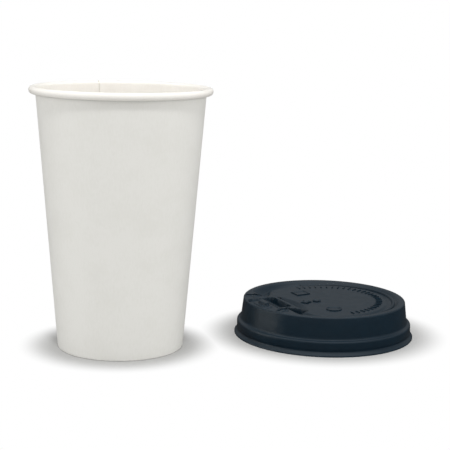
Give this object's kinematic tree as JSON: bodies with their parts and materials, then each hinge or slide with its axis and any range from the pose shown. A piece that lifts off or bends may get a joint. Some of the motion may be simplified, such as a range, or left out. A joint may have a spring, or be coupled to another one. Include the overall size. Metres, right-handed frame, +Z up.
{
  "type": "paper coffee cup",
  "caption": "Tall tapered paper coffee cup with a rolled rim and a recessed floor, and its domed sip lid with a fold-back locking tab lying beside it.",
  "frame": {"origin": "centre of the cup's foot, on the surface it stands on", "axes": "+Z up along the cup's axis, +X towards the lid that lies beside it, +Y to the back, where the glued side seam is"},
  "size_m": [0.1989, 0.1119, 0.13],
  "materials": {
    "coated_board": "white paperboard with a thin film, satin",
    "lid_plastic": "blue-black thermoformed sheet, glossy"
  },
  "bodies": {
    "cup_and_lid": {"cup_sidewall": "coated_board", "cup_floor": "coated_board", "lid_shell": "lid_plastic"},
    "tab": {"lid_tab": "lid_plastic"}
  },
  "joints": [
    {"name": "tab_hinge", "type": "hinge", "parent": "cup_and_lid", "child": "tab", "pos_m": [0.07745, 0.00924, 0.0182], "axis": [-0.342, 0.9397, 0], "range_deg": [0, 165]}
  ]
}
